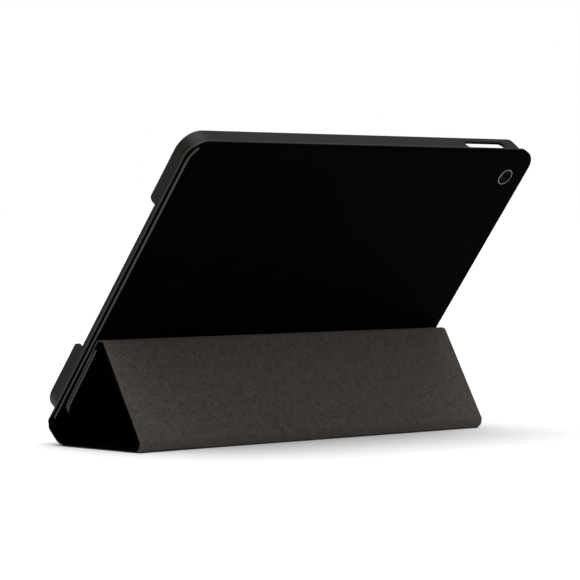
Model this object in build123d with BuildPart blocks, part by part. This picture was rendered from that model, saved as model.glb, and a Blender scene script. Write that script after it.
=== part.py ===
from build123d import *
import os
from math import cos, degrees, radians, sin, tan

# Folding tablet case with its cover set up as a stand.
#
# A hard tray holds the tablet and is bonded to a leather-look back plate. A soft spine
# joins the plate's lower edge to a cover of three boards. As a stand, the first board
# is the base, the second slopes up behind the plate and the third lies against the
# plate's back. Closed, the spine wraps round the tray and the three boards lie flat
# over the screen.
#
# Frame: +X to the tablet's port end, +Y towards the back of the stand, +Z up. The
# origin is the middle of the base board's underside, on the table. All sizes are mm.
#
# Every board, fold and shell layer runs along the case's side view (Y across, Z up),
# where a heading is an angle from +Y towards +Z. Going down the plate and on through
# the cover, the smooth skin is always on the left and the soft lining on the right.

# Tablet that the case is made for
tablet_length = 250.6
tablet_height = 174.1
tablet_thickness = 7.5
tablet_corner_radius = 10.1

# Hard tray
tablet_clearance = 0.3
tablet_depth_clearance = 0.1
tray_wall = 1.6
tray_floor = 1.0
lip_thickness = 0.7
lip_reach = 1.9
tray_front_round = 1.1
tray_back_round = 0.4
port_gap_length = 91.5
port_gap_centre = 88.0
port_sill_height = 2.7
port_gap_corner = 3.5
volume_slot_length = 32.0
volume_slot_width = 5.5
volume_slot_inset = 33.3
power_slot_length = 18.0
power_slot_inset = 22.0
jack_slot_length = 9.0
jack_slot_inset = 14.0
end_slot_width = 4.6

# Camera hole
camera_inset_x = 11.8
camera_inset_v = 14.4
ring_outer_radius = 4.4
ring_wall = 0.4
ring_flange_reach = 0.5
ring_flange_thickness = 0.35
camera_clearance = 0.25

# Back plate
plate_side_overhang = 2.3
plate_end_overhang = 0.6
plate_corner_radius = 11.0
adhesive_thickness = 0.2
adhesive_inset = 3.0
plate_board_thickness = 2.6

# Sheet materials of the plate and the cover
skin_thickness = 0.7
lining_thickness = 0.5
skin_round = 0.5
cover_board_thickness = 1.4
lining_inset = 0.8
lining_tip_inset = 1.3

# Stand
case_tilt = 53.2
spine_dip = 44.8
slope_tilt = 119.6
base_length = 55.3
flap_standoff = 1.45
flap_splay = 1.4
flap_tip_rise = 7.4
flap_corner_radius = 11.0

# Folds: the flexible length of sheet between two stiff pieces
plate_fold_length = 4.0
spine_fold_length = 7.0
rear_fold_radius = 2.5
apex_fold_radius = 1.8
fold_joint_gap = 0.1

# Closed cover
closed_cover_gap = 0.4

# Magnets
plate_magnet_radius = 4.0
plate_magnet_thickness = 1.5
cover_magnet_thickness = 1.0
wake_magnet_radius = 3.0
magnet_pocket_clearance = 0.1
magnet_spacing = 62.0
magnet_count = 4
magnet_from_tip = 16.0
wake_magnet_inset = 14.0
wake_magnet_pitch = 12.0

# Cuts run past the faces that they go through by this much
overcut = 1.0

# Worked-out sizes
pocket_length = tablet_length + 2 * tablet_clearance
pocket_height = tablet_height + 2 * tablet_clearance
pocket_depth = tablet_thickness + tablet_depth_clearance
pocket_corner_radius = tablet_corner_radius + tablet_clearance
tray_length = pocket_length + 2 * tray_wall
tray_height = pocket_height + 2 * tray_wall
tray_front = pocket_depth + lip_thickness
tray_corner_radius = pocket_corner_radius + tray_wall
cover_width = tray_length + 2 * plate_side_overhang
plate_height = tray_height + 2 * plate_end_overhang
plate_low = tablet_height / 2 - plate_height / 2
panel_thickness = skin_thickness + cover_board_thickness + lining_thickness
sheet_thickness = skin_thickness + lining_thickness
camera_x = camera_inset_x - tablet_length / 2
camera_v = tablet_height - camera_inset_v

# Levels of the shell's layers, measured from the tablet's back towards the screen
adhesive_top = -tray_floor
liner_top = adhesive_top - adhesive_thickness
plate_board_top = liner_top - lining_thickness
plate_skin_top = plate_board_top - plate_board_thickness
plate_back = plate_skin_top - skin_thickness
plate_middle = (liner_top + plate_back) / 2


# ---------------------------------------------------------------- side view helpers
def step(point, heading, distance):
    """The point reached by going a distance along a heading in the side view."""
    angle = radians(heading)
    return (point[0] + distance * cos(angle), point[1] + distance * sin(angle))


def bend(point, heading, radius, turn):
    """The end of an arc that starts along a heading and turns left."""
    centre = step(point, heading + 90, radius)
    return step(centre, heading + turn - 90, radius)


def along(point, start, heading):
    """How far a point lies along a heading, measured from a start point."""
    angle = radians(heading)
    return (point[0] - start[0]) * cos(angle) + (point[1] - start[1]) * sin(angle)


def hinge_point(start, heading, length, rest_turn, closed_turn):
    """The point a fold turns about, so that its sheet keeps its length.

    The sheet bends left by rest_turn in the stand and right by closed_turn in the
    closed cover, both times as a plain arc from one stiff piece to the next.
    """
    rest_radius = length / radians(rest_turn)
    rest_slope = tan(radians(180 - rest_turn) / 2)
    if closed_turn:
        closed_radius = length / radians(closed_turn)
        closed_slope = tan(radians(180 - closed_turn) / 2)
        reach = (rest_radius + closed_radius) / (rest_slope + closed_slope)
    else:
        reach = length / 2
    side = rest_radius - reach * rest_slope
    return step(step(start, heading, reach), heading + 90, side)


def side_plane(point, heading):
    """Plane across the case: local X is +X and local Y runs along the heading."""
    angle = radians(heading)
    return Plane(origin=(0, *point), x_dir=(1, 0, 0), z_dir=(0, -sin(angle), cos(angle)))


# ------------------------------------------------------------------- stand layout
plate_heading = case_tilt + 180
spine_heading = 360 - spine_dip
flap_heading = plate_heading + flap_splay
plate_fold_turn = spine_heading - plate_heading
spine_fold_turn = spine_dip
rear_fold_turn = slope_tilt
apex_fold_turn = flap_heading - slope_tilt
plate_fold_radius = plate_fold_length / radians(plate_fold_turn)
spine_fold_radius = spine_fold_length / radians(spine_fold_turn)
rear_fold_length = rear_fold_radius * radians(rear_fold_turn)
apex_fold_length = apex_fold_radius * radians(apex_fold_turn)

# The stiff middle of the spine spans what the two closed quarter bends leave over
# between the plate's middle and the closed cover's middle.
closed_cover_level = tray_front + closed_cover_gap + panel_thickness / 2
quarter_bends = (plate_fold_length + spine_fold_length) / radians(90)
spine_length = closed_cover_level - plate_middle - quarter_bends

# The chain is laid out back from the base board, which is centred on the origin.
base_start = (-base_length / 2, panel_thickness / 2)
base_end = (base_length / 2, panel_thickness / 2)
spine_end = bend(base_start, 180, -spine_fold_radius, -spine_fold_turn)
spine_start = step(spine_end, spine_heading, -spine_length)
plate_end = bend(spine_start, spine_heading + 180, -plate_fold_radius, -plate_fold_turn)
pocket_origin = step(step(plate_end, case_tilt, -plate_low), case_tilt + 90, -plate_middle)

# The slope is as long as it takes for the flap to stand off the plate's back.
slope_start = bend(base_end, 0, rear_fold_radius, rear_fold_turn)
apex_shift = bend((0, 0), slope_tilt, apex_fold_radius, apex_fold_turn)
flap_level = -plate_back + flap_standoff + panel_thickness / 2
flap_start_unsloped = (slope_start[0] + apex_shift[0], slope_start[1] + apex_shift[1])
level_to_close = along(flap_start_unsloped, pocket_origin, case_tilt - 90) - flap_level
slope_length = -level_to_close / cos(radians(slope_tilt - case_tilt + 90))
slope_end = step(slope_start, slope_tilt, slope_length)
flap_start = bend(slope_end, slope_tilt, apex_fold_radius, apex_fold_turn)

# The flap reaches down to a set height above the plate's lower edge.
flap_start_v = along(flap_start, pocket_origin, case_tilt)
flap_tip_v = plate_low + flap_tip_rise
flap_length = (flap_start_v - flap_tip_v) / cos(radians(flap_splay))

pocket_plane = side_plane(pocket_origin, case_tilt)
spine_plane = side_plane(spine_start, spine_heading)
base_plane = side_plane(base_start, 0)
slope_plane = side_plane(slope_start, slope_tilt)
flap_plane = side_plane(flap_start, flap_heading)


def report_layout():
    """Print the hinge lines, their travel and the closed cover's reach."""
    folds = [
        ("plate_hinge", plate_end, plate_heading, plate_fold_length, plate_fold_turn, 90),
        ("spine_hinge", spine_end, spine_heading, spine_fold_length, spine_fold_turn, 90),
        ("rear_hinge", base_end, 0, rear_fold_length, rear_fold_turn, 0),
        ("apex_hinge", slope_end, slope_tilt, apex_fold_length, apex_fold_turn, 0),
    ]
    for name, start, heading, length, rest_turn, closed_turn in folds:
        y, z = hinge_point(start, heading, length, rest_turn, closed_turn)
        print(f"{name}: y {y:.4f} z {z:.4f} travel {rest_turn + closed_turn:.4f}")
    print(f"pocket origin: y {pocket_origin[0]:.4f} z {pocket_origin[1]:.4f}")
    print(f"spine {spine_length:.3f} slope {slope_length:.3f} flap {flap_length:.3f}")
    quarter_shift = (spine_fold_length - plate_fold_length) / radians(90)
    boards = base_length + slope_length + flap_length
    reach = plate_low + quarter_shift + boards + rear_fold_length + apex_fold_length
    print(f"closed cover ends {tray_height / 2 + tablet_height / 2 - reach:.3f} short of the tray")


report_layout()
os.makedirs("parts", exist_ok=True)


# ------------------------------------------------------------------ shared shapes
def tongue(width, start, end, radius):
    """Outline from start to end along local Y, with its two far corners rounded."""
    half = width / 2
    with BuildLine() as outline:
        Polyline((-half, end - radius), (-half, start), (half, start), (half, end - radius))
        CenterArc((half - radius, end - radius), radius, 0, 90)
        Line((half - radius, end), (radius - half, end))
        CenterArc((radius - half, end - radius), radius, 90, 90)
    make_face(outline.edges())


def finish(part, label):
    """Name a finished piece and write it."""
    part.label = label
    export_step(part, f"parts/{label}.step")


def fold_layer(start, heading, radius, turn, low, high):
    """One sheet of a fold, between two distances left of the fold's middle."""
    centre = step(start, heading + 90, radius)
    trim = degrees(fold_joint_gap / radius)
    with BuildPart() as layer:
        with BuildSketch(Plane.YZ):
            with BuildLine():
                right = CenterArc(centre, radius - low, heading - 90, turn - trim)
                left = CenterArc(centre, radius - high, heading - 90, turn - trim)
                Line(right @ 0, left @ 0)
                Line(right @ 1, left @ 1)
            make_face()
        extrude(amount=cover_width / 2, both=True)
    return layer.part


def panel_skin(plane, length, corner_radius):
    """Smooth skin of a board, wrapped over its back and all four edges."""
    low = lining_thickness - panel_thickness / 2
    high = panel_thickness / 2
    with BuildPart() as skin:
        with BuildSketch(plane.offset(low)):
            panel_outline(length, corner_radius, 0)
        extrude(amount=high - low)
        outer_face = skin.faces().sort_by(Axis(plane.origin, plane.z_dir))[-1]
        fillet(outer_face.edges(), skin_round)
        with BuildSketch(plane.offset(low)):
            panel_outline(length, corner_radius, skin_thickness)
        extrude(amount=cover_board_thickness, mode=Mode.SUBTRACT)
    return skin.part


def panel_outline(length, corner_radius, inset):
    """A board's outline, rounded at its far corners when it has a corner radius."""
    if corner_radius:
        tongue(cover_width - 2 * inset, inset, length - inset, corner_radius - inset)
    else:
        with Locations((0, length / 2)):
            Rectangle(cover_width - 2 * inset, length - 2 * inset)


def panel_board(plane, length, corner_radius, magnets, magnet_radius):
    """Stiff board inside a skin, with blind pockets for its magnets."""
    low = lining_thickness - panel_thickness / 2
    with BuildPart() as board:
        with BuildSketch(plane.offset(low)):
            panel_outline(length, corner_radius, skin_thickness)
        extrude(amount=cover_board_thickness)
        if magnets:
            with BuildSketch(plane.offset(low)):
                with Locations(*magnets):
                    Circle(magnet_radius + magnet_pocket_clearance)
            extrude(amount=cover_magnet_thickness, mode=Mode.SUBTRACT)
    return board.part


def panel_magnets(plane, magnets, magnet_radius):
    """Flat disc magnets that lie in a board's pockets, level with its lining side."""
    low = lining_thickness - panel_thickness / 2
    with BuildPart() as discs:
        with BuildSketch(plane.offset(low)):
            with Locations(*magnets):
                Circle(magnet_radius)
        extrude(amount=cover_magnet_thickness)
    return discs.part


# ----------------------------------------------------------------------- the shell
with BuildPart() as tray:
    with BuildSketch(pocket_plane.offset(-tray_floor)):
        with Locations((0, tablet_height / 2)):
            RectangleRounded(tray_length, tray_height, tray_corner_radius)
    extrude(amount=tray_floor + tray_front)
    towards_screen = Axis(pocket_plane.origin, pocket_plane.z_dir)
    fillet(tray.faces().sort_by(towards_screen)[-1].edges(), tray_front_round)
    fillet(tray.faces().sort_by(towards_screen)[0].edges(), tray_back_round)
    with BuildSketch(pocket_plane):
        with Locations((0, tablet_height / 2)):
            RectangleRounded(pocket_length, pocket_height, pocket_corner_radius)
    extrude(amount=pocket_depth, mode=Mode.SUBTRACT)
    with BuildSketch(pocket_plane.offset(pocket_depth)):
        with Locations((0, tablet_height / 2)):
            RectangleRounded(
                pocket_length - 2 * lip_reach,
                pocket_height - 2 * lip_reach,
                pocket_corner_radius - lip_reach,
            )
    extrude(amount=lip_thickness + overcut, mode=Mode.SUBTRACT)

    # Long gap in the port end: the wall's ends are rounded and a low sill stays.
    end_plane = Plane(
        origin=pocket_plane.origin + pocket_plane.x_dir * (pocket_length / 2 - lip_reach - overcut),
        x_dir=pocket_plane.y_dir,
        z_dir=pocket_plane.x_dir,
    )
    gap_low = port_gap_centre - port_gap_length / 2
    gap_high = port_gap_centre + port_gap_length / 2
    gap_top = tray_front - port_gap_corner
    with BuildSketch(end_plane):
        with BuildLine():
            CenterArc((gap_low - port_gap_corner, gap_top), port_gap_corner, 90, -90)
            Line((gap_low, gap_top), (gap_low, port_sill_height))
            Line((gap_low, port_sill_height), (gap_high, port_sill_height))
            Line((gap_high, port_sill_height), (gap_high, gap_top))
            CenterArc((gap_high + port_gap_corner, gap_top), port_gap_corner, 180, -90)
            Polyline(
                (gap_high + port_gap_corner, tray_front),
                (gap_high + port_gap_corner, tray_front + overcut),
                (gap_low - port_gap_corner, tray_front + overcut),
                (gap_low - port_gap_corner, tray_front),
            )
        make_face()
    extrude(amount=lip_reach + tray_wall + 2 * overcut, mode=Mode.SUBTRACT)

    # Volume keys: a slot through the long upper wall, open towards the plate.
    pocket_top = tablet_height + tablet_clearance
    top_plane = Plane(
        origin=pocket_plane.origin + pocket_plane.y_dir * pocket_top,
        x_dir=pocket_plane.x_dir,
        z_dir=-pocket_plane.y_dir,
    )
    with BuildSketch(top_plane):
        with Locations((volume_slot_inset - tablet_length / 2, volume_slot_width / 2 - tray_floor)):
            SlotOverall(volume_slot_length, volume_slot_width)
    extrude(amount=-(tray_wall + overcut), mode=Mode.SUBTRACT)

    # Power key near the camera and a headphone jack at the other end of that side.
    camera_end_plane = Plane(
        origin=pocket_plane.origin - pocket_plane.x_dir * pocket_length / 2,
        x_dir=pocket_plane.y_dir,
        z_dir=pocket_plane.x_dir,
    )
    with BuildSketch(camera_end_plane):
        with Locations((tablet_height - power_slot_inset, tablet_thickness / 2)):
            SlotOverall(power_slot_length, end_slot_width)
        with Locations((jack_slot_inset, tablet_thickness / 2)):
            SlotOverall(jack_slot_length, end_slot_width)
    extrude(amount=-(tray_wall + overcut), mode=Mode.SUBTRACT)

    # Camera hole through the floor
    with BuildSketch(pocket_plane):
        with Locations((camera_x, camera_v)):
            Circle(ring_outer_radius + camera_clearance)
    extrude(amount=-tray_floor, mode=Mode.SUBTRACT)
finish(tray.part, "tray")

with BuildPart() as tray_adhesive:
    with BuildSketch(pocket_plane.offset(liner_top)):
        with Locations((0, tablet_height / 2)):
            RectangleRounded(
                tray_length - 2 * adhesive_inset,
                tray_height - 2 * adhesive_inset,
                tray_corner_radius - adhesive_inset,
            )
        with Locations((camera_x, camera_v)):
            Circle(ring_outer_radius + camera_clearance, mode=Mode.SUBTRACT)
    extrude(amount=adhesive_thickness)
finish(tray_adhesive.part, "tray_adhesive")

# The back plate is a board with the skin wrapped over its back and edges and a liner
# sheet on its front. Heights along it run from the tablet's lower edge.
plate_high = plate_low + plate_height
magnet_row = GridLocations(magnet_spacing, 1, magnet_count, 1)
magnet_xs = [location.position.X for location in magnet_row]
plate_magnet_spots = [(x, flap_tip_v + magnet_from_tip) for x in magnet_xs]

with BuildPart() as plate_liner:
    with BuildSketch(pocket_plane.offset(plate_board_top)):
        tongue(
            cover_width - 2 * lining_inset,
            plate_low,
            plate_high - lining_inset,
            plate_corner_radius - lining_inset,
        )
        with Locations((camera_x, camera_v)):
            Circle(ring_outer_radius, mode=Mode.SUBTRACT)
    extrude(amount=lining_thickness)
finish(plate_liner.part, "plate_liner")

with BuildPart() as plate_board:
    with BuildSketch(pocket_plane.offset(plate_skin_top)):
        tongue(
            cover_width - 2 * skin_thickness,
            plate_low + skin_thickness,
            plate_high - skin_thickness,
            plate_corner_radius - skin_thickness,
        )
        with Locations((camera_x, camera_v)):
            Circle(ring_outer_radius, mode=Mode.SUBTRACT)
    extrude(amount=plate_board_thickness)
    with BuildSketch(pocket_plane.offset(plate_skin_top)):
        with Locations(*plate_magnet_spots):
            Circle(plate_magnet_radius + magnet_pocket_clearance)
    extrude(amount=plate_magnet_thickness, mode=Mode.SUBTRACT)
finish(plate_board.part, "plate_board")

with BuildPart() as plate_skin:
    with BuildSketch(pocket_plane.offset(plate_back)):
        tongue(cover_width, plate_low, plate_high, plate_corner_radius)
    extrude(amount=plate_board_top - plate_back)
    fillet(plate_skin.faces().sort_by(towards_screen)[0].edges(), skin_round)
    with BuildSketch(pocket_plane.offset(plate_skin_top)):
        tongue(
            cover_width - 2 * skin_thickness,
            plate_low + skin_thickness,
            plate_high - skin_thickness,
            plate_corner_radius - skin_thickness,
        )
    extrude(amount=plate_board_thickness, mode=Mode.SUBTRACT)
    with BuildSketch(pocket_plane.offset(plate_back)):
        with Locations((camera_x, camera_v)):
            Circle(ring_outer_radius)
    extrude(amount=skin_thickness, mode=Mode.SUBTRACT)
finish(plate_skin.part, "plate_skin")

with BuildPart() as plate_magnets:
    with BuildSketch(pocket_plane.offset(plate_skin_top)):
        with Locations(*plate_magnet_spots):
            Circle(plate_magnet_radius)
    extrude(amount=plate_magnet_thickness)
finish(plate_magnets.part, "plate_magnets")

with BuildPart() as camera_ring:
    with BuildSketch(pocket_plane.offset(plate_back)):
        with Locations((camera_x, camera_v)):
            Circle(ring_outer_radius)
    extrude(amount=liner_top - plate_back)
    with BuildSketch(pocket_plane.offset(plate_back)):
        with Locations((camera_x, camera_v)):
            Circle(ring_outer_radius + ring_flange_reach)
    extrude(amount=-ring_flange_thickness)
    outer_rim = camera_ring.faces().sort_by(towards_screen)[0].edges()
    fillet(outer_rim, ring_flange_thickness / 2)
    with BuildSketch(pocket_plane.offset(plate_back - ring_flange_thickness)):
        with Locations((camera_x, camera_v)):
            Circle(ring_outer_radius - ring_wall)
    extrude(amount=liner_top - plate_back + ring_flange_thickness, mode=Mode.SUBTRACT)
finish(camera_ring.part, "camera_ring")

# --------------------------------------------------------------- folds and spine
# Each fold is one skin sheet and one lining sheet, bent round the same centre. The
# lining lies right of the middle line and the skin left of it.
sheet_seam = lining_thickness - sheet_thickness / 2
folds = {
    "plate_fold": (plate_end, plate_heading, plate_fold_radius, plate_fold_turn),
    "spine_fold": (spine_end, spine_heading, spine_fold_radius, spine_fold_turn),
    "rear_fold": (base_end, 0, rear_fold_radius, rear_fold_turn),
    "apex_fold": (slope_end, slope_tilt, apex_fold_radius, apex_fold_turn),
}
for fold_name, fold in folds.items():
    finish(fold_layer(*fold, sheet_seam, sheet_thickness / 2), f"{fold_name}_skin")
    finish(fold_layer(*fold, -sheet_thickness / 2, sheet_seam), f"{fold_name}_lining")

with BuildPart() as spine_skin:
    with BuildSketch(spine_plane.offset(sheet_seam)):
        with Locations((0, spine_length / 2)):
            Rectangle(cover_width, spine_length)
    extrude(amount=skin_thickness)
finish(spine_skin.part, "spine_skin")

with BuildPart() as spine_lining:
    with BuildSketch(spine_plane.offset(sheet_seam)):
        with Locations((0, spine_length / 2)):
            Rectangle(cover_width, spine_length)
    extrude(amount=-lining_thickness)
finish(spine_lining.part, "spine_lining")

# --------------------------------------------------------------------- base board
base_skin = panel_skin(base_plane, base_length, 0)
finish(base_skin, "base_skin")
base_board = panel_board(base_plane, base_length, 0, [], 0)
finish(base_board, "base_board")

with BuildPart() as base_lining:
    with BuildSketch(base_plane.offset(-panel_thickness / 2)):
        with Locations((0, base_length / 2)):
            Rectangle(cover_width - 2 * lining_inset, base_length)
    extrude(amount=lining_thickness)
finish(base_lining.part, "base_lining")

# ------------------------------------------------------------------- sloped board
wake_x = wake_magnet_inset - cover_width / 2
wake_magnet_spots = [
    (wake_x, slope_length / 2 - wake_magnet_pitch / 2),
    (wake_x, slope_length / 2 + wake_magnet_pitch / 2),
]
slope_skin = panel_skin(slope_plane, slope_length, 0)
finish(slope_skin, "slope_skin")
slope_board = panel_board(slope_plane, slope_length, 0, wake_magnet_spots, wake_magnet_radius)
finish(slope_board, "slope_board")
wake_magnets = panel_magnets(slope_plane, wake_magnet_spots, wake_magnet_radius)
finish(wake_magnets, "wake_magnets")

with BuildPart() as slope_lining:
    with BuildSketch(slope_plane.offset(-panel_thickness / 2)):
        with Locations((0, slope_length / 2)):
            Rectangle(cover_width - 2 * lining_inset, slope_length)
    extrude(amount=lining_thickness)
finish(slope_lining.part, "slope_lining")

# --------------------------------------------------------------------------- flap
flap_magnet_spots = [(x, flap_length - magnet_from_tip) for x in magnet_xs]
flap_skin = panel_skin(flap_plane, flap_length, flap_corner_radius)
finish(flap_skin, "flap_skin")
flap_board = panel_board(
    flap_plane, flap_length, flap_corner_radius, flap_magnet_spots, plate_magnet_radius
)
finish(flap_board, "flap_board")
flap_magnets = panel_magnets(flap_plane, flap_magnet_spots, plate_magnet_radius)
finish(flap_magnets, "flap_magnets")

with BuildPart() as flap_lining:
    with BuildSketch(flap_plane.offset(-panel_thickness / 2)):
        tongue(
            cover_width - 2 * lining_inset,
            0,
            flap_length - lining_tip_inset,
            flap_corner_radius - lining_tip_inset,
        )
    extrude(amount=lining_thickness)
finish(flap_lining.part, "flap_lining")
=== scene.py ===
from math import ceil, cos, pi, radians, sin

import bmesh
import bpy
from mathutils import Matrix, Vector, noise


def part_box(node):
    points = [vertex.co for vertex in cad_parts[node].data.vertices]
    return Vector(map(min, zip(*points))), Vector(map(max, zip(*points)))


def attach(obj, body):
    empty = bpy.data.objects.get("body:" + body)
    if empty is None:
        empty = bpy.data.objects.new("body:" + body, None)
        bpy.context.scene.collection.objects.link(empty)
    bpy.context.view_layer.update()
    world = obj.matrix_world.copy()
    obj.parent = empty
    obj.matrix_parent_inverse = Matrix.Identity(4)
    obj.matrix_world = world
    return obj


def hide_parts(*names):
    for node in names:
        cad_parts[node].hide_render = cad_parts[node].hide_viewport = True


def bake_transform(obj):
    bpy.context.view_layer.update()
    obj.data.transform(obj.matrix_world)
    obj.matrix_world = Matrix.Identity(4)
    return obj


# Folding tablet case, seen from the back while its cover holds it up as a stand.
#
# The frame is the CAD model's: +X to the port end, +Y towards the back of the stand,
# +Z up, in metres. The CAD's hard parts stay as they are. The leather-look skin and the
# microfibre lining are built here, each as a run of sheets: one on every stiff panel and
# one over every fold between two panels, so that the cover bends where the real one does.

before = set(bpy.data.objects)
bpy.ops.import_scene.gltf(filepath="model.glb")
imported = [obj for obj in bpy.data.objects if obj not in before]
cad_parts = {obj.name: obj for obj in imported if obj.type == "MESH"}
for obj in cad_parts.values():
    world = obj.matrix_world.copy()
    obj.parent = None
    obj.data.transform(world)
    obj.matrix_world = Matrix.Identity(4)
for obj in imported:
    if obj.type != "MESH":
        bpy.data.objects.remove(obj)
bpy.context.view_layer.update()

MM = 0.001

# ----------------------------------------------------------- sizes shared with the CAD
tablet_height = 174.1 * MM
tray_wall_and_clearance = 1.9 * MM
tray_front = 8.3 * MM
plate_front = -1.2 * MM
plate_back = -5.0 * MM
plate_end_overhang = 0.6 * MM
tongue_corner = 11.0 * MM
panel_thickness = 2.6 * MM
fold_thickness = 1.2 * MM
lining_thickness = 0.5 * MM
case_tilt = 53.2
spine_dip = 44.8
slope_tilt = 119.6
flap_splay = 1.4
flap_standoff = 1.45 * MM
flap_tip_rise = 7.4 * MM
base_length = 55.3 * MM
plate_fold_length = 4.0 * MM
spine_fold_length = 7.0 * MM
rear_fold_radius = 2.5 * MM
apex_fold_radius = 1.8 * MM
closed_cover_gap = 0.4 * MM
camera_x = -113.5 * MM
camera_v = 159.7 * MM
camera_hole_radius = 4.4 * MM

skin_low, skin_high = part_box("base_skin")
half_width = (skin_high.x - skin_low.x) / 2

# ------------------------------------------------------------------ build of the sheets
skin_sheet = 0.3 * MM
lining_sheet = 0.35 * MM
hem_width = 3.0 * MM
skin_edge_round = 0.75 * MM
skin_hem_round = 0.8 * MM
face_round_limit = 0.55
hem_round_limit = 0.35
lining_margin = 0.15 * MM
lining_edge_round = 0.25 * MM
face_border = 0.5 * MM
overlap = 4.0 * MM
taper_start = -0.3 * MM
taper_length = 1.7 * MM
panel_row = 4.0 * MM
fold_row = 0.3 * MM
column = 6.0 * MM
arc_steps = 6
corner_steps = 20
hole_sides = 48
wave_height = 0.05 * MM
wave_length = 28.0 * MM
sharp_angle = 40.0
# How far a face's round edge must face the port end to get the painted highlight.
highlight_facing = 0.7


# --------------------------------------------------------------------- side view helpers
def step(point, heading, distance):
    """The point reached by going a distance along a heading in the side view (Y, Z)."""
    angle = radians(heading)
    return (point[0] + distance * cos(angle), point[1] + distance * sin(angle))


def bend(point, heading, radius, turn):
    """The end of an arc that starts along a heading and turns left."""
    centre = step(point, heading + 90, radius)
    return step(centre, heading + turn - 90, radius)


def along(point, start, heading):
    """How far a point lies along a heading, measured from a start point."""
    angle = radians(heading)
    return (point[0] - start[0]) * cos(angle) + (point[1] - start[1]) * sin(angle)


# ------------------------------------------------------------------ the case's side view
plate_heading = case_tilt + 180
spine_heading = 360 - spine_dip
flap_heading = plate_heading + flap_splay
plate_fold_turn = spine_heading - plate_heading
apex_fold_turn = flap_heading - slope_tilt
plate_fold_radius = plate_fold_length / radians(plate_fold_turn)
spine_fold_radius = spine_fold_length / radians(spine_dip)
rear_fold_length = rear_fold_radius * radians(slope_tilt)
apex_fold_length = apex_fold_radius * radians(apex_fold_turn)
plate_middle = (plate_front + plate_back) / 2
plate_thickness = plate_front - plate_back
plate_low = -tray_wall_and_clearance - plate_end_overhang
plate_length = tablet_height - 2 * plate_low

closed_cover_level = tray_front + closed_cover_gap + panel_thickness / 2
quarter_bends = (plate_fold_length + spine_fold_length) / radians(90)
spine_length = closed_cover_level - plate_middle - quarter_bends

base_start = (-base_length / 2, panel_thickness / 2)
base_end = (base_length / 2, panel_thickness / 2)
spine_end = bend(base_start, 180, -spine_fold_radius, -spine_dip)
spine_start = step(spine_end, spine_heading, -spine_length)
plate_end = bend(spine_start, spine_heading + 180, -plate_fold_radius, -plate_fold_turn)
pocket_origin = step(step(plate_end, case_tilt, -plate_low), case_tilt + 90, -plate_middle)

slope_start = bend(base_end, 0, rear_fold_radius, slope_tilt)
apex_shift = bend((0, 0), slope_tilt, apex_fold_radius, apex_fold_turn)
flap_level = -plate_back + flap_standoff + panel_thickness / 2
unsloped = (slope_start[0] + apex_shift[0], slope_start[1] + apex_shift[1])
level_to_close = along(unsloped, pocket_origin, case_tilt - 90) - flap_level
slope_length = -level_to_close / cos(radians(slope_tilt - case_tilt + 90))
slope_end = step(slope_start, slope_tilt, slope_length)
flap_start = bend(slope_end, slope_tilt, apex_fold_radius, apex_fold_turn)
flap_start_v = along(flap_start, pocket_origin, case_tilt)
flap_length = (flap_start_v - plate_low - flap_tip_rise) / cos(radians(flap_splay))


# ------------------------------------------------------------------------ mesh helpers
def place(x, point, heading, height):
    """A point across the case at x, lifted to the left of a side-view heading."""
    y, z = step(point, heading + 90, height)
    return Vector((x, y, z))


def waved(position, outward):
    """The position moved a little along outward, so that a large face isn't dead flat."""
    return position + outward * (noise.noise(position / wave_length) * wave_height)


def quarter(inset, level, radius, start, finish):
    """Points of a round edge: (inset, level) pairs round a centre, angles in degrees."""
    points = []
    for i in range(arc_steps + 1):
        angle = radians(start + (finish - start) * i / arc_steps)
        points.append((inset - radius * cos(angle), level + radius * sin(angle)))
    return points


def skin_profile(half):
    """The skin's edge from its hem, round the side and onto the smooth face."""
    under = lining_thickness - half
    room = half - under
    top = min(skin_edge_round, face_round_limit * room)
    bottom = min(skin_hem_round, hem_round_limit * room)
    hem = [(hem_width, under)]
    low = quarter(bottom, under + bottom, bottom, -90, 0)
    high = quarter(top, half - top, top, 0, 90)
    return hem + low + high + [(top + face_border, half)]


def lining_profile(half):
    """The lining's edge from the skin's hem onto its soft face, which lies below."""
    under = lining_thickness - half
    edge = lining_edge_round
    side = [(lining_margin, under)]
    arc = quarter(lining_margin + edge, edge - half, edge, 0, -90)
    return side + arc + [(lining_margin + edge + face_border, -half)]


def is_rounded(i, edge):
    """Whether the i-th strip of a profile with edge strips lies on a round edge."""
    return 0 < i < edge - 1 and i != arc_steps + 1


def profile_length(profile):
    """Half of a sheet's flat width: round its edge and on to the middle of the case."""
    run = sum((Vector(b) - Vector(a)).length for a, b in zip(profile, profile[1:]))
    return run + half_width - profile[-1][0]


def finish_sheet(name, mesh, outward_face, outward, thickness, materials):
    """Turn a bmesh's faces outwards, give it its thickness and make it an object.

    materials are the sheet's own and the one for its rounded edges, which may paint a highlight.
    """
    bmesh.ops.recalc_face_normals(mesh, faces=mesh.faces)
    mesh.normal_update()
    if outward_face.normal.dot(outward) < 0:
        bmesh.ops.reverse_faces(mesh, faces=mesh.faces)
    data = bpy.data.meshes.new(name)
    mesh.to_mesh(data)
    mesh.free()
    for material in materials:
        data.materials.append(material)
    piece = bpy.data.objects.new(name, data)
    bpy.context.scene.collection.objects.link(piece)
    solid = piece.modifiers.new("thickness", "SOLIDIFY")
    solid.thickness = thickness
    solid.offset = -1
    solid.use_even_offset = True
    solid.thickness_clamp = 1
    graph = bpy.context.evaluated_depsgraph_get()
    made = bpy.data.meshes.new_from_object(piece.evaluated_get(graph))
    piece.modifiers.clear()
    piece.data = made
    made.name = name
    made.shade_smooth()
    made.set_sharp_from_angle(angle=radians(sharp_angle))
    rest = made.attributes.new("rest", "FLOAT_VECTOR", "POINT")
    rest.data.foreach_set("vector", [c for v in made.vertices for c in v.co])
    return piece


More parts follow.
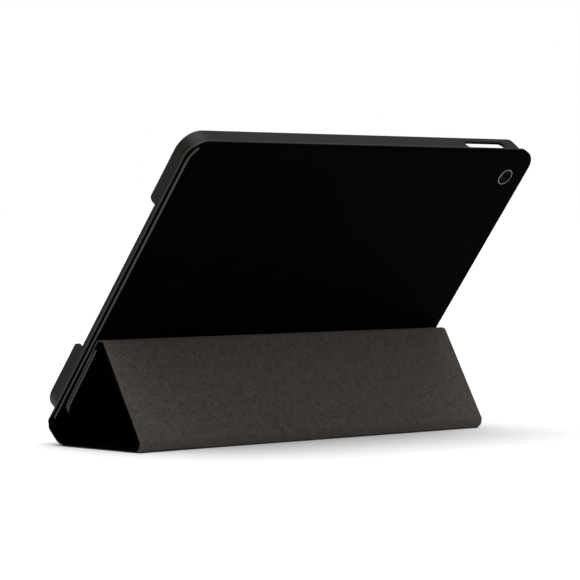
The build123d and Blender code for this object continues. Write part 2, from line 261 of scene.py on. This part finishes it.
def run_sheet(name, stations, edge_profile, face_sign, thickness, materials):
    """A sheet along the side view, from side to side of the case.

    A station is (point, heading, half thickness). face_sign is 1 for the skin, whose
    face is on the left of the run, and -1 for the lining on the right.
    """
    mesh = bmesh.new()
    rows = []
    for point, heading, half in stations:
        profile = edge_profile(half)
        inner, level = profile[-1]
        reach = half_width - inner
        count = ceil(2 * reach / column)
        left = place(0, (0, 0), heading, 1) * face_sign
        row = [
            mesh.verts.new(place(inset - half_width, point, heading, height))
            for inset, height in profile
        ]
        for i in range(1, count):
            spot = place(2 * reach * i / count - reach, point, heading, level)
            row.append(mesh.verts.new(waved(spot, left)))
        row += [
            mesh.verts.new(place(half_width - inset, point, heading, height))
            for inset, height in reversed(profile)
        ]
        rows.append(row)
    edge = len(profile) - 1
    for a, b in zip(rows, rows[1:]):
        for i in range(len(a) - 1):
            face = mesh.faces.new((a[i], a[i + 1], b[i + 1], b[i]))
            face.material_index = int(is_rounded(min(i, len(a) - 2 - i), edge))
    mesh.faces.ensure_lookup_table()
    middle = mesh.faces[len(rows[0]) // 2]
    outward = place(0, (0, 0), stations[0][1], 1) * face_sign
    return finish_sheet(name, mesh, middle, outward, thickness, materials)


def panel_stations(start, heading, low, high, half):
    """Even stations along a stiff panel."""
    count = ceil((high - low) / panel_row)
    places = [low + (high - low) * i / count for i in range(count + 1)]
    return [(step(start, heading, distance), heading, half) for distance in places]


def fold_stations(start, heading, length, turn, half_before, half_after, before, after):
    """Stations over a fold: a flat stretch before it, its arc, and a flat one after it."""
    radius = length / radians(turn)
    middle = fold_thickness / 2
    arc_end = bend(start, heading, radius, turn)
    count = ceil((before + length + after) / fold_row)
    stations = []
    for i in range(count + 1):
        s = (before + length + after) * i / count - before
        if s <= 0:
            point, facing = step(start, heading, s), heading
        elif s < length:
            facing = heading + turn * s / length
            point = step(step(start, heading + 90, radius), facing - 90, radius)
        else:
            facing = heading + turn
            point = step(arc_end, facing, s - length)
        half = middle
        half += (half_before - middle) * thick_share(s)
        half += (half_after - middle) * thick_share(length - s)
        stations.append((point, facing, half))
    return stations


def thick_share(distance):
    """How much of a panel's extra thickness is left this far into the fold."""
    share = min(max(1 - (distance - taper_start) / taper_length, 0), 1)
    return share * share * (3 - 2 * share)


def tongue_path(low, high, corner):
    """Points and outward directions up one side, round the far end and down the other."""
    path = [((half_width, low), (1, 0))]
    for side, first in ((1, 0), (-1, 90)):
        for i in range(corner_steps + 1):
            angle = radians(first + 90 * i / corner_steps)
            facing = (cos(angle), sin(angle))
            centre = (side * (half_width - corner), high - corner)
            path.append(((centre[0] + corner * facing[0], centre[1] + corner * facing[1]), facing))
    path.append(((-half_width, low), (-1, 0)))
    return path


def tongue_sheet(name, start, heading, low, high, profile, flip, hole, thickness, materials):
    """A sheet on a panel whose far end is closed and has rounded corners.

    Its hem's round edge has a painted highlight all round, its face's only towards the port end.
    flip is -1 where the panel's faces are the other way round from the side view's.
    """
    mesh = bmesh.new()
    path = tongue_path(low, high, tongue_corner)
    rings = []
    for inset, level in profile:
        ring = []
        for (x, s), facing in path:
            point = step(start, heading, s - inset * facing[1])
            spot = place(x - inset * facing[0], point, heading, flip * level)
            ring.append(mesh.verts.new(spot))
        rings.append(ring)
    for k, (a, b) in enumerate(zip(rings, rings[1:])):
        for i in range(len(a) - 1):
            face = mesh.faces.new((a[i], a[i + 1], b[i + 1], b[i]))
            # Painted highlight: all round on the hem's round edge, on the face's round edge where
            # it faces the port end.
            towards_port = path[i][1][0]
            highlit = k <= arc_steps or towards_port > highlight_facing
            face.material_index = int(is_rounded(k, len(rings) - 1) and highlit)
    border = [mesh.edges.get((a, b)) for a, b in zip(rings[-1], rings[-1][1:])]
    border.append(mesh.edges.new((rings[-1][-1], rings[-1][0])))
    if hole:
        border += hole_edges(mesh, start, heading, flip * profile[-1][1])
    filled = bmesh.ops.triangle_fill(mesh, edges=border, use_beauty=True)
    face = next(f for f in filled["geom"] if isinstance(f, bmesh.types.BMFace))
    outward = place(0, (0, 0), heading, 1) * (1 if flip * profile[-1][1] > 0 else -1)
    return finish_sheet(name, mesh, face, outward, thickness, materials)


def hole_edges(mesh, start, heading, level):
    """The camera hole's edge, in the plate's own plane."""
    spots = []
    for i in range(hole_sides):
        angle = 2 * pi * i / hole_sides
        s = camera_v - plate_low + camera_hole_radius * sin(angle)
        x = camera_x + camera_hole_radius * cos(angle)
        spots.append(mesh.verts.new(place(x, step(start, heading, s), heading, level)))
    return [mesh.edges.new((a, b)) for a, b in zip(spots, spots[1:] + spots[:1])]


# --------------------------------------------------------------------------- materials
class Nodes:
    """Short names for building one material's node tree."""

    def __init__(self, name):
        self.material = bpy.data.materials.new(name)
        self.material.use_nodes = True
        self.tree = self.material.node_tree
        self.shader = self.tree.nodes["Principled BSDF"]

    def add(self, kind, values=(), inputs=()):
        """A node with its settings and with sockets set to a value or linked."""
        node = self.tree.nodes.new(kind)
        for key, value in dict(values).items():
            setattr(node, key, value)
        for key, value in dict(inputs).items():
            self.feed(node.inputs[key], value)
        return node

    def feed(self, socket, value):
        """Link a socket to another, or set it."""
        if isinstance(value, bpy.types.NodeSocket):
            self.tree.links.new(value, socket)
        else:
            socket.default_value = value

    def sheet_place(self):
        """The place on a soft sheet, which stays with the cloth when it bends."""
        return self.add("ShaderNodeAttribute", {"attribute_name": "rest"}).outputs["Vector"]

    def part_place(self):
        """The place on a hard part."""
        return self.add("ShaderNodeTexCoord").outputs["Object"]

    def noise(self, place, size, detail=2.0, roughness=0.5):
        """Noise with features of about the given size in metres."""
        settings = {"Vector": place, "Scale": 1 / size, "Detail": detail, "Roughness": roughness}
        return self.add("ShaderNodeTexNoise", {}, settings).outputs["Fac"]

    def cells(self, place, size, feature="F1"):
        """Cell distance with cells of about the given size in metres."""
        settings = {"Vector": place, "Scale": 1 / size}
        return self.add("ShaderNodeTexVoronoi", {"feature": feature}, settings).outputs["Distance"]

    def ramp(self, value, low, high, first, last):
        """A value mapped from one range to another."""
        settings = {"Value": value, "From Min": low, "From Max": high}
        settings.update({"To Min": first, "To Max": last})
        return self.add("ShaderNodeMapRange", {}, settings).outputs["Result"]

    def mix(self, share, first, last):
        """Two colours mixed."""
        node = self.add("ShaderNodeMix", {"data_type": "RGBA"})
        self.feed(node.inputs["Factor"], share)
        self.feed(node.inputs[6], first)
        self.feed(node.inputs[7], last)
        return node.outputs[2]

    def sum(self, first, last, share):
        """One height plus a share of another."""
        settings = {0: last, 1: share, 2: first}
        return self.add("ShaderNodeMath", {"operation": "MULTIPLY_ADD"}, settings).outputs[0]

    def bump(self, height, depth, strength):
        """Relief on the shader's normal, of about the given depth in metres."""
        settings = {"Height": height, "Distance": depth, "Strength": strength}
        relief = self.add("ShaderNodeBump", {}, settings)
        self.feed(self.shader.inputs["Normal"], relief.outputs["Normal"])

    def set(self, **values):
        """Set or link the shader's sockets."""
        for key, value in values.items():
            self.feed(self.shader.inputs[key.replace("_", " ")], value)


def grey(value, warmth=0.0):
    """A near-neutral colour, warmer with a higher warmth."""
    return (value * (1 + warmth), value, value * (1 - warmth), 1.0)


def tint(value, red, blue):
    """A near-neutral colour with its own shares of red and blue."""
    return (value * red, value, value * blue, 1.0)


def skin_material(name, low, high, smooth, gloss):
    """Black leather-look sheet with a fine pebbled grain, matt, or brighter and glossier as a
    painted highlight.
    """
    n = Nodes(name)
    spot = n.sheet_place()
    pebble = n.cells(spot, 0.55 * MM, "SMOOTH_F1")
    pores = n.noise(spot, 0.12 * MM, 3.0, 0.6)
    drape = n.noise(spot, 9 * MM, 2.0)
    wear = n.noise(spot, 25 * MM, 4.0, 0.6)
    n.set(Base_Color=n.mix(n.ramp(wear, 0.35, 0.75, 0, 1), grey(low), grey(high, 0.05)))
    n.set(Roughness=n.ramp(n.sum(wear, pores, 0.35), 0.3, 1.0, smooth, smooth + 0.16))
    n.set(Specular_IOR_Level=gloss)
    n.bump(n.sum(n.sum(pebble, pores, 0.35), drape, 1.2), 0.05 * MM, 0.35)
    return n.material


def lining_material():
    """Taupe microfibre: a short pile with a heathered, faintly brushed mottle."""
    n = Nodes("microfibre_lining")
    spot = n.sheet_place()
    pile = n.noise(spot, 0.22 * MM, 4.0, 0.7)
    tufts = n.noise(spot, 1.1 * MM, 3.0, 0.6)
    mottle = n.noise(spot, 4 * MM, 4.0, 0.7)
    heather = n.ramp(n.noise(spot, 4 * MM, 3.0, 0.7), 0.42, 0.66, 0, 1)
    tone = n.ramp(n.sum(n.sum(tufts, mottle, 0.45), pile, 0.7), 0.82, 1.32, 0, 1)
    dark = n.mix(heather, tint(0.016, 1.30, 0.82), tint(0.018, 1.10, 0.96))
    light = n.mix(heather, tint(0.075, 1.27, 0.83), tint(0.073, 1.09, 0.96))
    n.set(Base_Color=n.mix(tone, dark, light))
    n.set(Roughness=n.ramp(tufts, 0.3, 0.7, 0.82, 0.98))
    n.set(Specular_IOR_Level=0.2, Sheen_Weight=0.25, Sheen_Roughness=0.45)
    n.set(Sheen_Tint=grey(0.8, 0.08))
    n.bump(n.sum(pile, tufts, 0.9), 0.12 * MM, 0.7)
    return n.material


def tray_material():
    """Matte moulded plastic with a fine spark-eroded texture."""
    n = Nodes("matte_tray_plastic")
    spot = n.part_place()
    spark = n.noise(spot, 0.16 * MM, 3.0, 0.65)
    flow = n.noise(spot, 22 * MM, 3.0, 0.5)
    scuff = n.noise(spot, 3.5 * MM, 5.0, 0.7)
    dark = tint(0.0055, 1.25, 0.72)
    light = tint(0.009, 1.25, 0.72)
    n.set(Base_Color=n.mix(n.ramp(flow, 0.3, 0.7, 0, 1), dark, light))
    n.set(Roughness=n.ramp(n.sum(scuff, spark, 0.4), 0.4, 1.0, 0.46, 0.62))
    n.set(Specular_IOR_Level=0.2)
    n.bump(spark, 0.04 * MM, 0.45)
    return n.material


def hidden_material(name, colour_low, colour_high, size, roughness, metallic=0.0):
    """A plain mottled material for the layers inside the boards."""
    n = Nodes(name)
    spot = n.part_place()
    grain = n.noise(spot, size, 4.0, 0.6)
    n.set(Base_Color=n.mix(n.ramp(grain, 0.35, 0.65, 0, 1), colour_low, colour_high))
    n.set(Roughness=n.ramp(grain, 0.3, 0.7, roughness - 0.08, roughness + 0.08))
    n.set(Metallic=metallic)
    n.bump(grain, 0.05 * MM, 0.4)
    return n.material


def ring_material():
    """Satin metal ring, painted black where it lines the camera hole."""
    n = Nodes("satin_ring")
    spot = n.part_place()
    scratch = n.noise(spot, 0.3 * MM, 4.0, 0.7)
    towards_screen = place(0, (0, 0), case_tilt, 1)
    centre = place(camera_x, step(pocket_origin, case_tilt, camera_v), case_tilt, plate_back)
    soft = 0.05 * MM
    dot, distance = {"operation": "DOT_PRODUCT"}, {"operation": "DISTANCE"}
    depth = n.add("ShaderNodeVectorMath", dot, {0: spot, 1: towards_screen})
    level = centre.dot(towards_screen)
    sunk = n.ramp(depth.outputs["Value"], level - soft, level + soft, 0, 1)
    reach = n.add("ShaderNodeVectorMath", distance, {0: spot, 1: centre})
    rim = camera_hole_radius + soft
    within = n.ramp(reach.outputs["Value"], rim - soft, rim + soft, 1, 0)
    inside = n.add("ShaderNodeMath", {"operation": "MAXIMUM"}, {0: sunk, 1: within}).outputs[0]
    metal = n.mix(n.ramp(scratch, 0.35, 0.65, 0, 1), grey(0.16), grey(0.24))
    n.set(Base_Color=n.mix(inside, metal, grey(0.002)))
    n.set(Metallic=n.ramp(inside, 0, 1, 1, 0))
    n.set(Roughness=n.ramp(scratch, 0.3, 0.7, 0.34, 0.48), Specular_IOR_Level=0.05)
    n.bump(scratch, 0.02 * MM, 0.25)
    return n.material


# A sheet has two materials: its own and the one for its round edges. On the plate's and
# the flap's skin that one paints a highlight: a brighter, glossier copy of the skin.
skin_face = skin_material("leather_look_skin", 0.0004, 0.0011, 0.46, 0.004)
# Painted highlight: a brighter, glossier copy of the skin for the round edges that catch the light.
painted_highlight_skin = skin_material("skin_edge_painted_highlight", 0.002, 0.004, 0.24, 0.6)
plain_skin = (skin_face, skin_face)
skin_with_painted_highlight = (skin_face, painted_highlight_skin)
soft_lining = lining_material()
lining = (soft_lining, soft_lining)
cad_materials = {
    "tray": tray_material(),
    "camera_ring": ring_material(),
    "tray_adhesive": hidden_material("adhesive_film", grey(0.30), grey(0.36), 2 * MM, 0.45),
}
fibre_board = hidden_material("fibre_board", grey(0.15, 0.1), grey(0.21, 0.1), 0.8 * MM, 0.85)
nickel = hidden_material("nickel_magnet", grey(0.50), grey(0.60), 0.5 * MM, 0.3, 1.0)
for node_name in ("plate_board", "base_board", "slope_board", "flap_board"):
    cad_materials[node_name] = fibre_board
for node_name in ("plate_magnets", "wake_magnets", "flap_magnets"):
    cad_materials[node_name] = nickel
for node_name, material in cad_materials.items():
    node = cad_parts[node_name]
    node.data.materials.clear()
    node.data.materials.append(material)

# --------------------------------------------------------------- the cover's sheets
plate_half = plate_thickness / 2
panel_half = panel_thickness / 2
fold_half = fold_thickness / 2
half_spine = spine_length / 2


def declare(half, profile):
    """Work out a sheet's flat width from its edge; the result is not kept."""
    2 * profile_length(profile(half))


def panel_pair(name, body, start, heading, length):
    """Skin and lining of a panel between two folds."""
    stations = panel_stations(start, heading, overlap, length - overlap, panel_half)
    layers = (
        ("skin", skin_profile, 1, skin_sheet, plain_skin, "stretched"),
        ("lining", lining_profile, -1, lining_sheet, lining, "laid"),
    )
    for slot, profile, sign, thickness, material, held in layers:
        piece = run_sheet(f"{slot}_{name}", stations, profile, sign, thickness, material)
        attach(piece, body)
        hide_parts(f"{name}_{slot}")
        declare(panel_half, profile)


def fold_pair(name, start, heading, length, turn, halves, flats, stands_for):
    """Skin and lining over a fold, curved round it from one panel to the next."""
    stations = fold_stations(start, heading, length, turn, *halves, *flats)
    layers = (
        ("skin", skin_profile, 1, skin_sheet, plain_skin),
        ("lining", lining_profile, -1, lining_sheet, lining),
    )
    for slot, profile, sign, thickness, material in layers:
        piece = run_sheet(f"{slot}_{name}", stations, profile, sign, thickness, material)
        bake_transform(piece)
        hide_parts(*(f"{node}_{slot}" for node in stands_for))
        declare(fold_half, profile)


def tongue_pair(name, body, start, heading, length, half, flip, hole, layers):
    """Skin and lining of a panel with a closed, rounded end."""
    for slot, node, profile, thickness, material, held in layers:
        edge = profile(half)
        piece = tongue_sheet(
            f"{slot}_{name}", start, heading, overlap, length, edge, flip, hole, thickness, material
        )
        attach(piece, body)
        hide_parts(node)
        declare(half, profile)


tongue_pair(
    "plate",
    "shell",
    plate_end,
    case_tilt,
    plate_length,
    plate_half,
    -1,
    True,
    (
        ("skin", "plate_skin", skin_profile, skin_sheet, skin_with_painted_highlight, "stretched"),
        ("lining", "plate_liner", lining_profile, lining_sheet, lining, "laid"),
    ),
)
panel_pair("base", "base", base_start, 0, base_length)
panel_pair("slope", "slope", slope_start, slope_tilt, slope_length)
tongue_pair(
    "flap",
    "flap",
    flap_start,
    flap_heading,
    flap_length,
    panel_half,
    1,
    False,
    (
        ("skin", "flap_skin", skin_profile, skin_sheet, skin_with_painted_highlight, "stretched"),
        ("lining", "flap_lining", lining_profile, lining_sheet, lining, "laid"),
    ),
)
fold_pair(
    "plate_fold",
    plate_end,
    plate_heading,
    plate_fold_length,
    plate_fold_turn,
    (plate_half, fold_half),
    (overlap, half_spine),
    ("plate_fold", "spine"),
)
fold_pair(
    "spine_fold",
    spine_end,
    spine_heading,
    spine_fold_length,
    spine_dip,
    (fold_half, panel_half),
    (half_spine, overlap),
    ("spine_fold",),
)
fold_pair(
    "rear_fold",
    base_end,
    0,
    rear_fold_length,
    slope_tilt,
    (panel_half, panel_half),
    (overlap, overlap),
    ("rear_fold",),
)
fold_pair(
    "apex_fold",
    slope_end,
    slope_tilt,
    apex_fold_length,
    apex_fold_turn,
    (panel_half, panel_half),
    (overlap, overlap),
    ("apex_fold",),
)

# ------------------------------------------------------------- floor, light and camera
floor_size = 40.0
view_azimuth = 45.18
view_elevation = 1.668
view_distance = 1.5175
view_roll = 0.307
view_target = Vector((46.27, 53.04, 80.92)) * MM
lens_mm = 183.57
sensor_mm = 36.0
backdrop_glow = 1.0
ambient_light = 0.22
overhead_place = (0.05, 0.1, 1.5)
overhead_spread = 70
overhead_strength = 3.15
window_place = (1.5, 0.4, 0.9)
window_size = (0.9, 1.2)
window_power = 1.5
window_target = (0, 0, 0.06)


def floor_material():
    """Pale matte paper with the slightest tooth."""
    n = Nodes("pale_floor")
    tooth = n.noise(n.part_place(), 1.5 * MM, 3.0)
    n.set(Base_Color=n.mix(n.ramp(tooth, 0.3, 0.7, 0, 1), grey(0.94), grey(0.97)))
    n.set(Roughness=0.9, Specular_IOR_Level=0.1)
    n.bump(tooth, 0.05 * MM, 0.15)
    return n.material


def make_floor():
    """The table that the case stands on."""
    mesh = bmesh.new()
    bmesh.ops.create_grid(mesh, x_segments=1, y_segments=1, size=floor_size / 2)
    data = bpy.data.meshes.new("floor")
    mesh.to_mesh(data)
    mesh.free()
    data.materials.append(floor_material())
    floor = bpy.data.objects.new("floor", data)
    bpy.context.scene.collection.objects.link(floor)


def make_world():
    """Pale, even surroundings: bright behind the object and softer as a light."""
    world = bpy.data.worlds.new("studio")
    bpy.context.scene.world = world
    world.use_nodes = True
    tree = world.node_tree
    background = tree.nodes["Background"]
    background.inputs["Color"].default_value = (1, 1, 1, 1)
    seen = tree.nodes.new("ShaderNodeLightPath")
    level = tree.nodes.new("ShaderNodeMapRange")
    level.inputs["To Min"].default_value = ambient_light
    level.inputs["To Max"].default_value = backdrop_glow
    tree.links.new(seen.outputs["Is Camera Ray"], level.inputs["Value"])
    tree.links.new(level.outputs["Result"], background.inputs["Strength"])


def make_softbox(name, position, size, power, target):
    """A rectangular softbox that faces a target."""
    data = bpy.data.lights.new(name, "AREA")
    data.shape = "RECTANGLE"
    data.size, data.size_y = size
    data.energy = power
    add_lamp(data, position, target)


def make_sky_light(name, position, spread, strength):
    """Soft light from overhead that falls evenly on the whole floor."""
    data = bpy.data.lights.new(name, "SUN")
    data.angle = radians(spread)
    data.energy = strength
    add_lamp(data, position, (0, 0, 0))


def add_lamp(data, position, target):
    """Put a lamp in the scene, facing a target."""
    lamp = bpy.data.objects.new(data.name, data)
    bpy.context.scene.collection.objects.link(lamp)
    lamp.location = position
    lamp.rotation_euler = (Vector(target) - Vector(position)).to_track_quat("-Z", "Y").to_euler()


def make_camera():
    """A long lens behind the stand, level with its middle."""
    azimuth, elevation = radians(view_azimuth), radians(view_elevation)
    back = Vector(
        (sin(azimuth) * cos(elevation), cos(azimuth) * cos(elevation), sin(elevation))
    )
    level_right = (-back).cross(Vector((0, 0, 1))).normalized()
    level_up = level_right.cross(-back)
    roll = radians(view_roll)
    right = level_right * cos(roll) + level_up * sin(roll)
    up = level_up * cos(roll) - level_right * sin(roll)
    data = bpy.data.cameras.new("camera")
    data.sensor_width = sensor_mm
    data.lens = lens_mm
    camera = bpy.data.objects.new("camera", data)
    bpy.context.scene.collection.objects.link(camera)
    camera.matrix_world = Matrix.Translation(view_target + back * view_distance) @ Matrix(
        (right, up, back)
    ).transposed().to_4x4()
    bpy.context.scene.camera = camera


make_floor()
make_world()
make_sky_light("overhead", overhead_place, overhead_spread, overhead_strength)
make_softbox("window", window_place, window_size, window_power, window_target)
make_camera()
bpy.context.scene.view_settings.view_transform = "Standard"
